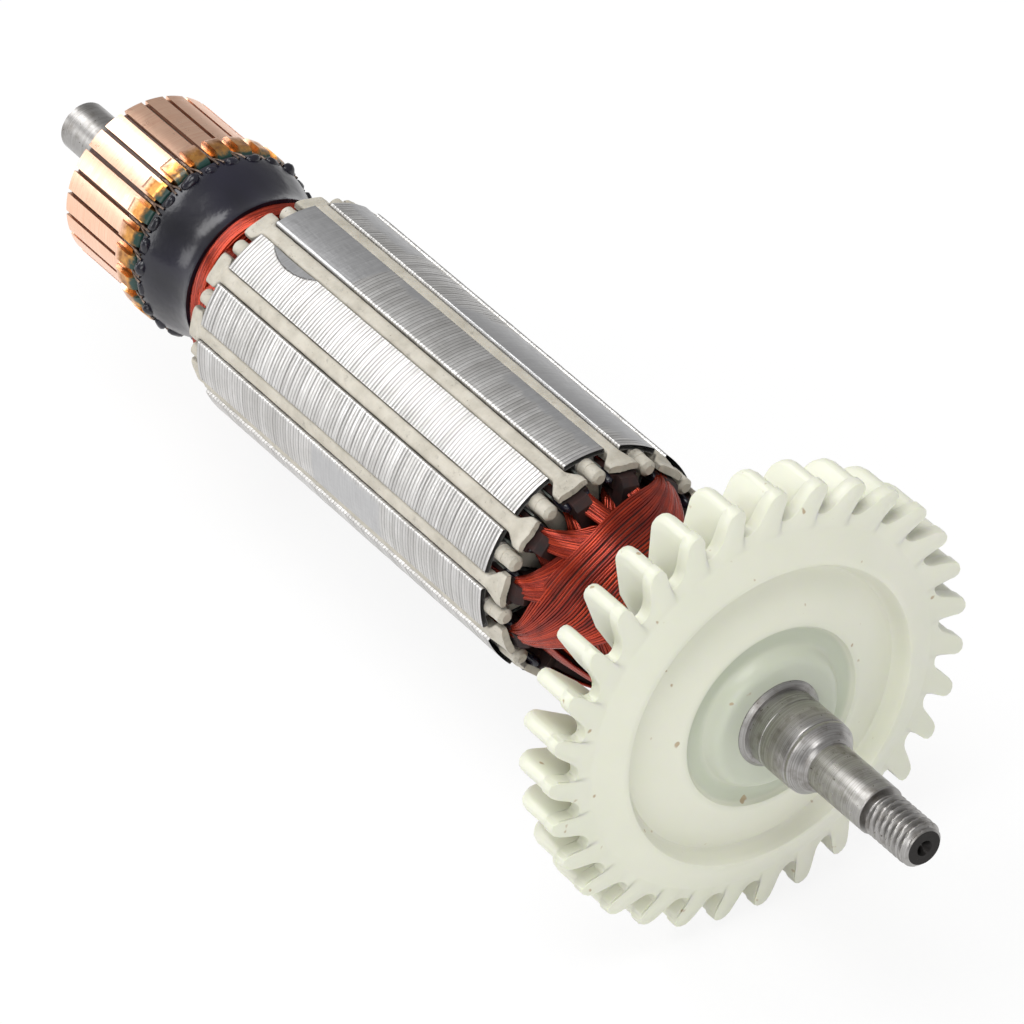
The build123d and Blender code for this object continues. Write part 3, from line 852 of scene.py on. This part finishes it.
def wire_routes(level, sides, face, outwards, head, seed):
    """Routes of one coil's wires over one end of the core.  Each wire leaves its slot, swings
    over the head and enters the other slot.  Its distance from the core grows with the sine
    of the turn from the nearer slot, least for the near edge of the ribbon and most for the
    far one.  Its radius goes from that of the slot to the outline of the coil's own layer."""
    leg, near_edge, outline_places, outline_radii = head
    chance = np.random.default_rng(seed)
    share = np.concatenate([np.linspace(0, 1, wires_across), np.zeros(wires_below)])[:, None]
    sunk = np.concatenate([np.zeros(wires_across), 1.0 + np.arange(wires_below)])[:, None]
    count = len(share)
    t = np.linspace(0, 1, head_points)[None, :]
    span = coil_span * tooth_pitch
    from_side = span * np.minimum(t, 1 - t)
    rise = np.sin(np.radians(from_side))
    near_rise = np.minimum(rise / math.sin(math.radians(span / 2)), 1)
    far_rise = np.minimum(rise / math.sin(math.radians(ribbon_turn)), 1)
    far_rise = 1 - (1 - far_rise) ** ribbon_power
    on_top = [side[1] > bottom_side_radius for side in sides]
    leg_near = first_leg_place + (leg + leg_gap) * np.where(t < 0.5, *on_top)
    near = leg_near + (near_edge - leg_near) * near_rise
    far = leg_near + leg + (outline_places[-1] - leg_near - leg) * far_rise
    distance = near + share * (far - near)
    distance = distance + chance.normal(0, wire_scatter, (count, 1)) * near_rise
    outline = np.interp(distance, outline_places, outline_radii)
    layer = head_foot_radius + (outline - head_foot_radius) * (level + 1) / pair_count
    layer = layer + wire_rise * wire_radius - 2 * wire_radius * sunk
    layer = layer + chance.normal(0, wire_scatter, (count, 1)) * near_rise
    outer = np.where(t < 0.5, sides[0][1], sides[1][1]) + side_reach
    outer = outer + chance.uniform(*side_scatter, (count, 1)) - 2 * wire_radius * sunk
    past_leg = soft_step(distance, leg_near + leg, leg_near + leg + sink_run)
    inwards = np.maximum(soft_step(from_side, *sink_turns), past_leg)
    radius = outer * (1 - inwards) + layer * inwards
    bundle = (share - 0.5) * mouth_width * (1 - soft_step(from_side, 0.0, mouth_turn))
    turn = sides[0][0] + span * t - np.where(t < 0.5, 1, -1) * bundle
    in_slot = np.broadcast_to(slot_steps, (count, len(slot_steps)))
    distance = np.concatenate([in_slot, distance, in_slot[:, ::-1]], axis=1)
    radius = np.pad(radius, ((0, 0), (2, 2)), mode="edge")
    turn = np.pad(turn, ((0, 0), (2, 2)), mode="edge")
    routes = around_axis(face + outwards * distance, radius, np.radians(turn))
    for _ in range(smoothing_rounds):
        middle = (routes[:, :-2] + 2 * routes[:, 1:-1] + routes[:, 2:]) / 4
        routes = np.concatenate([routes[:, :1], middle, routes[:, -1:]], axis=1)
    return routes


def tubes(routes, radius, sides):
    """Round tubes along many routes at once: at each point of a route stands a ring of points
    square to it, and the first one lies on the side away from the axis."""
    ahead = np.gradient(routes, axis=1)
    ahead /= np.linalg.norm(ahead, axis=-1, keepdims=True)
    outward = routes * np.array([0.0, 1.0, 1.0])
    outward -= (outward * ahead).sum(-1, keepdims=True) * ahead
    outward /= np.linalg.norm(outward, axis=-1, keepdims=True)
    beside = np.cross(ahead, outward)
    angle = np.linspace(0, 2 * np.pi, sides, endpoint=False)
    ring = (
        np.cos(angle)[None, None, :, None] * outward[:, :, None, :]
        + np.sin(angle)[None, None, :, None] * beside[:, :, None, :]
    )
    points = routes[:, :, None, :] + radius * ring
    count, length = routes.shape[:2]
    one = grid_faces(length, sides)
    faces = (one[None, :, :] + (np.arange(count) * length * sides)[:, None, None]).reshape(-1, 4)
    return points.reshape(-1, 3), faces


def enamel():
    """Clear dark red enamel over copper: each wire has its own depth of red, and clouds of
    resin stain it darker."""
    material, place = start_material("enamelled_copper")
    tone = point_value(material, "tone")
    clouds = noise(material, place, 500.0, 4.0)
    color = mixed_color(material, tone, (0.22, 0.014, 0.005), (0.47, 0.046, 0.013))
    stain = spread(material, clouds, 0.48, 0.8, 0.0, 0.8)
    color = mixed_color(material, stain, color, (0.08, 0.010, 0.006))
    return finish_material(
        material,
        base_color=color,
        metallic=0.7,
        roughness=0.26,
        coat_weight=0.22,
        coat_roughness=0.1,
    )


def coil_bulk_shade():
    """Wires under the outer ones, sunk in resin: a dull red so dark that it is painted shade in
    the gaps between the outer wires.
    """
    material, place = start_material("coil_bulk_shade")
    clouds = noise(material, place, 700.0, 4.0)
    tone = spread(material, clouds, 0.35, 0.7)
    color = mixed_color(material, tone, (0.012, 0.006, 0.006), (0.035, 0.008, 0.006))
    return finish_material(material, base_color=color, roughness=0.7)


wire_enamel = enamel()
coil_shade = coil_bulk_shade()
for coil in range(coil_count):
    level = coil % pair_count
    start = (coil + first_slot + 0.5) * tooth_pitch
    sides = (
        (start, top_side_radius if level == pair_count - 1 else bottom_side_radius),
        (start + coil_span * tooth_pitch, top_side_radius if level > 0 else bottom_side_radius),
    )
    front = wire_routes(level, sides, core_front, 1, front_head, 500 + coil)
    rear = wire_routes(level, sides, core_rear, -1, rear_head, 600 + coil)
    chance = np.random.default_rng(700 + coil)
    routes = np.concatenate([front, rear])
    points, faces = tubes(routes, wire_radius, wire_sides)
    tones = np.repeat(chance.uniform(0, 1, len(routes)), routes.shape[1] * wire_sides)
    wires = mesh_object(f"coil_wires_{coil + 1:02d}", points * mm, faces[:, ::-1])
    keep_values(wires, tone=tones)
    wires.data.materials.append(wire_enamel)
    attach(wires, "root")
    dress(f"coil_{coil + 1:02d}", coil_shade)

# Commutator.  Hard copper bars in a brown moulding; each bar ends in a tang that is bent over
# its wires and hot pressed, which leaves it golden, with a green rim of resin.
tang_length = 3.1
scorch_waver = 2.2
bar_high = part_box("commutator_bar_01")[1]
bar_front = bar_high.x / mm
tang_start = bar_front - tang_length


def bar_copper():
    """Pale turned copper; the scorched tang is golden to brown, with a green tip of resin, and
    the limits between them waver."""
    material, place = start_material("bar_copper")
    rings = noise(material, stretched(material, place, (9000, 200, 200)), 1.0, 2.0)
    clouds = noise(material, place, 900.0, 5.0)
    tone = spread(material, rings, 0.3, 0.7)
    color = mixed_color(material, tone, (0.88, 0.52, 0.36), (0.97, 0.66, 0.49))
    burnt = spread(material, clouds, 0.35, 0.7)
    tang = mixed_color(material, burnt, (0.70, 0.34, 0.09), (0.26, 0.10, 0.04))
    along = along_axis(material, place)
    along = reckon(material, "MULTIPLY_ADD", clouds, scorch_waver * mm, along)
    on_tang = spread(material, along, (tang_start + 0.3) * mm, (tang_start + 1.6) * mm)
    color = mixed_color(material, on_tang, color, tang)
    at_tip = spread(material, along, (bar_front - 0.2) * mm, (bar_front + 0.6) * mm)
    color = mixed_color(material, at_tip, color, (0.012, 0.05, 0.04))
    metal = spread(material, at_tip, 0.0, 1.0, 1.0, 0.0)
    rough = spread(material, clouds, 0.3, 0.7, 0.26, 0.36)
    return finish_material(
        material,
        base_color=color,
        metallic=metal,
        roughness=rough,
        normal=bump(material, rings, 0.15, 0.00002),
    )


def brown_moulding():
    """Dark brown phenolic with a faint grain."""
    material, place = start_material("phenolic")
    grain = noise(material, place, 1500.0, 4.0)
    tone = spread(material, grain, 0.3, 0.7)
    color = mixed_color(material, tone, (0.035, 0.018, 0.014), (0.10, 0.05, 0.04))
    return finish_material(material, base_color=color, roughness=0.5)


copper = bar_copper()
for name in nodes:
    if name.startswith("commutator_bar"):
        dress(name, copper)
dress("commutator_moulding", brown_moulding())

# Leads and resin.  Leads run from the winding to the tangs under a brushed coat of black
# resin, which is glossy and a little uneven, and stands in beads round the tangs.  Drops of it
# also hold the wires where they leave the slots.
bar_count = 24
bar_turn = 5.5
bead_place = 1.25
bead_radius = 12.6
bead_size = (0.75, 0.85, 1.25)
drop_place = 1.9
drop_radius = 13.3
drop_turn = 6.2
drop_size = (1.7, 0.75, 0.8)
bead_growth = (0.8, 1.15)
bead_wave = 0.13
bead_rows = 9
bead_columns = 14
bead_scatter = 0.08
drop_scatter = (0.3, 0.15)
turn_scatter = 0.8


def black_resin():
    """Blue-black glossy resin with slow waves in its skin."""
    material, place = start_material("black_resin")
    waves = noise(material, stretched(material, place, (45, 190, 190)), 1.0, 1.0)
    ripple = noise(material, place, 900.0, 2.0)
    tone = spread(material, waves, 0.3, 0.7)
    color = mixed_color(material, tone, (0.006, 0.006, 0.010), (0.013, 0.012, 0.024))
    both = reckon(material, "MULTIPLY_ADD", ripple, 0.12, waves)
    return finish_material(
        material,
        base_color=color,
        roughness=0.25,
        normal=bump(material, both, 0.30, 0.0012),
    )


def beads(places, radii, turns, size, seed):
    """Rounded lumps at many places: each is an ellipsoid with a low wave in its skin, and it
    lies with its second axis outwards and its third one round the axis."""
    chance = np.random.default_rng(seed)
    count = len(turns)
    lat = np.linspace(-np.pi / 2, np.pi / 2, bead_rows)[None, :, None]
    lon = np.linspace(0, 2 * np.pi, bead_columns, endpoint=False)[None, None, :]
    phase = chance.uniform(0, 6, (count, 1, 1))
    grow = chance.uniform(*bead_growth, (count, 1, 1))
    wave = grow * (1 + bead_wave * np.sin(3 * lon + phase) * np.cos(lat) ** 2)
    along = size[0] * wave * np.sin(lat) * np.ones_like(lon)
    out = size[1] * wave * np.cos(lat) * np.cos(lon)
    round_axis = size[2] * wave * np.cos(lat) * np.sin(lon)
    place, radius, angle = (v[:, None, None] for v in (places, radii, np.radians(turns)))
    points = around_axis(place + along, radius + out, angle, round_axis).reshape(-1, 3)
    one = grid_faces(bead_rows, bead_columns)
    shift = (np.arange(count) * bead_rows * bead_columns)[:, None, None]
    return points, (one[None, :, :] + shift).reshape(-1, 4)


resin = black_resin()
dress("resin_cone", resin)
dress("coil_leads", wire_enamel)
chance = np.random.default_rng(810)
bar_turns = bar_turn + np.arange(bar_count) * 360 / bar_count
tang_beads = beads(
    bar_front + bead_place + chance.normal(0, bead_scatter, bar_count),
    bead_radius + chance.normal(0, bead_scatter, bar_count),
    bar_turns + chance.normal(0, turn_scatter, bar_count),
    bead_size,
    811,
)
mouths = (np.arange(tooth_count) + 0.5) * tooth_pitch
drop_turns = np.concatenate([mouths - drop_turn, mouths + drop_turn])
slot_drops = beads(
    core_front + drop_place + chance.normal(0, drop_scatter[0], len(drop_turns)),
    drop_radius + chance.normal(0, drop_scatter[1], len(drop_turns)),
    drop_turns + chance.normal(0, turn_scatter, len(drop_turns)),
    drop_size,
    812,
)
for name, (points, faces) in {"tang_beads": tang_beads, "slot_drops": slot_drops}.items():
    lumps = mesh_object(name, points * mm, faces[:, ::-1])
    weld(lumps)
    lumps.data.materials.append(resin)
    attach(lumps, "root")

# Wire ends.  The ends of the coils' wires stand as stiff grey threads between the tangs and
# run a little way into the gaps between the bars.
end_points = 8
ends_in_gap = 2
end_radius = 0.17
end_reach = (-3.3, 1.3)
end_reach_scatter = 0.9
end_low_radius = 12.28
end_rise = 0.62
end_part = (0.25, 1.6)
end_radius_scatter = 0.06
end_turn_scatter = 0.3


def lead_ends(seed):
    """Routes of the threads: straight along the axis in a gap, with a small rise where the
    thread passes between two tangs."""
    chance = np.random.default_rng(seed)
    count = bar_count * ends_in_gap
    gap = np.repeat(bar_turns + 180 / bar_count, ends_in_gap)[:, None]
    side = np.tile(np.linspace(-1, 1, ends_in_gap), bar_count)[:, None]
    t = np.linspace(0, 1, end_points)[None, :]
    reach = end_reach[0] + chance.uniform(-end_reach_scatter, end_reach_scatter, (count, 1))
    x = bar_front + reach + (end_reach[1] - reach) * t
    radius = end_low_radius + end_rise * soft_step(t, 0.35, 0.95)
    radius = radius + chance.normal(0, end_radius_scatter, (count, 1)) * t
    turn = gap + side * (end_part[0] + end_part[1] * soft_step(t, 0.3, 1.0))
    turn = turn + chance.normal(0, end_turn_scatter, (count, 1)) * t
    return around_axis(x, radius, np.radians(turn))


def sooty_wire():
    """Grey-brown wire with resin and soot on it."""
    material, place = start_material("sooty_wire")
    clouds = noise(material, place, 1200.0, 3.0)
    tone = spread(material, clouds, 0.35, 0.65)
    color = mixed_color(material, tone, (0.035, 0.025, 0.022), (0.30, 0.21, 0.16))
    return finish_material(material, base_color=color, metallic=0.5, roughness=0.3)


points, faces = tubes(lead_ends(820), end_radius, wire_sides)
threads = mesh_object("wire_ends", points * mm, faces[:, ::-1])
threads.data.materials.append(sooty_wire())
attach(threads, "root")

# Fan.  Milky nylon, moulded in one piece on its steel bush: 31 blades on a dished plate with a
# toothed rim.  The plate and the blades share this material.
recess_floor = -2.75
recess_radius = 12.05
hub_shade_start = 8.6
hub_shade_end = 13.4


def milky_nylon():
    """Translucent nylon, milky with a green and yellow cast; painted shade darkens it towards the
    hub and on the floor of the recess round it; faint clouds, fine scratches and a few burnt
    specks."""
    material, place = start_material("milky_nylon")
    clouds = noise(material, place, 40.0, 4.0)
    specks = noise(material, place, 620.0, 1.0)
    fine = noise(material, place, 1600.0, 3.0)
    from_axis = axis_distance(material, place)
    tone = spread(material, clouds, 0.35, 0.65)
    color = mixed_color(material, tone, (0.69, 0.70, 0.585), (0.74, 0.74, 0.635))
    # Painted shade: darker towards the hub, and darker again on the floor of the recess round the
    # boss.
    hub_shade_share = spread(material, from_axis, hub_shade_start * mm, hub_shade_end * mm, 1.0, 0.0)
    color = mixed_color(material, hub_shade_share, color, (0.54, 0.57, 0.47))
    inner = (recess_radius - 0.25) * mm
    recess_shade_ring = spread(material, from_axis, inner, inner + 0.8 * mm, 1.0, 0.0)
    along = along_axis(material, place)
    floor_end = (recess_floor + 0.3) * mm
    sunk = spread(material, along, (recess_floor - 0.1) * mm, floor_end, 1.0, 0.0)
    both = reckon(material, "MULTIPLY", recess_shade_ring, sunk)
    color = mixed_color(material, both, color, (0.47, 0.51, 0.40))
    burnt = spread(material, specks, 0.755, 0.80, 0.0, 0.7)
    color = mixed_color(material, burnt, color, (0.35, 0.22, 0.09))
    return finish_material(
        material,
        base_color=color,
        roughness=0.36,
        subsurface_weight=0.65,
        subsurface_radius=(0.0034, 0.0038, 0.0024),
        normal=bump(material, fine, 0.08, 0.00005),
    )


# Fan plate.  A turned dish with a lip and a boss round the bush; its rim has one leaning
# tooth for each blade, with rounded valleys between them.
blade_count = 31
blade_turn = 1.6
blade_pitch = 2 * math.pi / blade_count
points_per_tooth = 18
rim_front = -4.2
rim_rear = -6.2
rim_edge = 0.35
rim_edge_near = 0.1
rim_radius = 30.72
rim_middle_radius = 28
hub_rear = -14.1
bush_bore = 5.9
# One tooth, as radius and way round the axis; and the plate's profiles, as place and radius.
tooth_corners = (
    (26.4, -0.95), (26.75, 0.15), (30.4, -1.3), (30.9, -0.75), (30.85, 0.8), (26.85, 3.1),
)
front_corners = (
    (-0.6, 6.0), (-0.6, 8.5), (-1.2, 9.15), (recess_floor, 9.9), (recess_floor, recess_radius),
    (-1.8, 12.4), (-2.4, 13.7), (-4.4, 19.6), (-1.95, 20.7), (-2.2, 21.6), (-3.9, 25.2),
)
rear_corners = (
    (-6.0, 25.4), (-4.7, 20.8), (-6.4, 19.6), (-4.75, 12.4), (-4.75, 9.6), (-13.8, 9.4),
    (hub_rear, 9.0),
)
profile_step = 0.45


def even_line(corners, step, rounds):
    """Points at equal steps along a line of corners, with the corners smoothed over."""
    line = np.array(corners, float)
    lengths = np.concatenate([[0], np.cumsum(np.linalg.norm(np.diff(line, axis=0), axis=1))])
    places = np.linspace(0, lengths[-1], int(lengths[-1] / step) + 1)
    line = np.stack([np.interp(places, lengths, column) for column in line.T], axis=-1)
    for _ in range(rounds):
        line[1:-1] = (line[:-2] + 2 * line[1:-1] + line[2:]) / 4
    return line


def rim_outline():
    """Radius and angle of the toothed rim: the corners of one tooth repeated round the axis,
    put at equal steps, smoothed over and cut off at the rim's radius.  The angle is given as
    an even one and the way off it."""
    tooth = np.array(tooth_corners)
    radii = np.tile(tooth[:, 0], blade_count)
    starts = np.arange(blade_count)[:, None] * blade_pitch
    turns = (tooth[:, 1] / tooth[:, 0] + starts).ravel()
    first = np.array([radii[0], turns[0] + 2 * math.pi])
    line = np.concatenate([np.stack([radii, turns], axis=-1), first[None]])
    flat = line * [1, rim_middle_radius]
    lengths = np.concatenate([[0], np.cumsum(np.linalg.norm(np.diff(flat, axis=0), axis=1))])
    places = np.linspace(0, lengths[-1], blade_count * points_per_tooth, endpoint=False)
    radii = np.interp(places, lengths, line[:, 0])
    turns = np.interp(places, lengths, line[:, 1])
    even = turns[0] + np.arange(len(turns)) * 2 * math.pi / len(turns)
    off = turns - even
    for _ in range(2):
        radii = (np.roll(radii, 1) + 2 * radii + np.roll(radii, -1)) / 4
        off = (np.roll(off, 1) + 2 * off + np.roll(off, -1)) / 4
    return np.minimum(radii, rim_radius), off, even


def fan_plate():
    """Plate of the fan: rings along the profile of the front, the toothed rim, and rings along
    the profile of the back and the hub, closed through the bore."""
    rim, off, even = rim_outline()
    front = even_line(front_corners, profile_step, 1)
    rear = even_line(rear_corners, 2 * profile_step, 1)
    rings = [np.broadcast_to(ring[:, :, None], (len(ring), 2, len(rim))) for ring in (front, rear)]
    edge = [(rim_front, rim_edge), (rim_front - rim_edge_near, rim_edge_near)]
    edge += [(rim_front - rim_edge, 0.0), (rim_rear + rim_edge, 0.0), (rim_rear, rim_edge)]
    teeth = np.array([[np.full(len(rim), x), rim - inset] for x, inset in edge])
    rows = np.concatenate([rings[0], teeth, rings[1]])
    bore = np.array([(hub_rear, bush_bore), (front_corners[0][0], bush_bore), front_corners[0]])
    rows = np.concatenate([rows, np.broadcast_to(bore[:, :, None], (3, 2, len(rim)))])
    x, radius = rows[:, 0], rows[:, 1]
    share = np.zeros_like(radius)
    share[len(front) : len(front) + len(edge)] = 1.0
    angle = even[None, :] + off[None, :] * share + math.radians(blade_turn)
    return around_axis(x, radius, angle).reshape(-1, 3), radius.shape


fan_nylon = milky_nylon()
points, shape = fan_plate()
plate = mesh_object("fan_plate", points * mm, grid_faces(*shape)[:, ::-1])
weld(plate)
shade_by_angle(plate, 40)
plate.data.materials.append(fan_nylon)
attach(plate, "root")
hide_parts("fan")

# Fan blades.  Each leans from the radial direction, has a rounded tip and a rounded rear
# corner, and its inner end is cut back towards the rear; its front end is in the plate.
blade_lean = math.radians(21.0)
blade_tip_radius = 30.5
blade_inner_radius = 17.4
blade_half = 1.2
blade_tip_half = 1.0
blade_front = -4.5
blade_rear = -12.44
blade_corner = 2.6
blade_inner_cut = 4.2
blade_straight_end = -7.5
blade_edge_share = 0.8
blade_side_shift = -0.3
corner_rings = 7
round_points = 7


def fan_blades():
    """Blades as rings from the front to the rear: each ring is a strip with round ends along
    the leaning line; near the rear its tip draws in along a quarter circle, its inner end
    along a slope, and its sides by a small edge.  The first and last rings have no width, which
    closes the blade."""
    bend = np.sqrt(np.linspace(0, 1, corner_rings))
    corner = blade_rear + blade_corner * (1 - bend)
    x = np.concatenate([[blade_front, blade_straight_end], corner])
    x = np.concatenate([x[:1], x, x[-1:]])[:, None]
    into = np.clip((blade_rear + blade_corner - x) / blade_corner, 0, 1)
    tip_cut = blade_corner * (1 - np.sqrt(np.maximum(1 - into**2, 0)))
    inner_cut = np.clip(blade_rear + blade_inner_cut - x, 0, blade_inner_cut)
    thin = np.ones_like(x)
    thin[-2] = blade_edge_share
    thin[0] = thin[-1] = 0.0
    turn = np.linspace(-np.pi / 2, np.pi / 2, round_points)[None, :]
    middle = np.linspace(0.2, 0.8, 3)[None, :]
    length = blade_tip_radius - blade_inner_radius
    tip = length - blade_tip_half - tip_cut
    inner = blade_half + inner_cut
    tip_along = tip + blade_tip_half * thin * np.cos(turn)
    tip_across = blade_tip_half * thin * np.sin(turn)
    up_along = tip + (inner - tip) * middle
    up_across = (blade_tip_half + (blade_half - blade_tip_half) * middle) * thin
    inner_along = inner - blade_half * thin * np.cos(turn)
    inner_across = blade_half * thin * np.sin(-turn)
    down_along = up_along[:, ::-1]
    down_across = -up_across[:, ::-1]
    along = np.concatenate([tip_along, up_along, inner_along, down_along], axis=1)
    across = np.concatenate([tip_across, up_across, inner_across, down_across], axis=1)
    from_tip = length - along
    radial = blade_tip_radius - from_tip * math.cos(blade_lean) - across * math.sin(-blade_lean)
    side = from_tip * math.sin(blade_lean) + across * math.cos(blade_lean) + blade_side_shift
    turns = math.radians(blade_turn) + np.arange(blade_count) * blade_pitch
    points = around_axis(x, radial, turns[:, None, None], side)
    one = grid_faces(*along.shape)
    shift = (np.arange(blade_count) * along.size)[:, None, None]
    return points.reshape(-1, 3), (one[None] + shift).reshape(-1, 4)


points, faces = fan_blades()
blades = mesh_object("fan_blades", points * mm, faces)
weld(blades)
shade_by_angle(blades, 50)
blades.data.materials.append(fan_nylon)
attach(blades, "root")
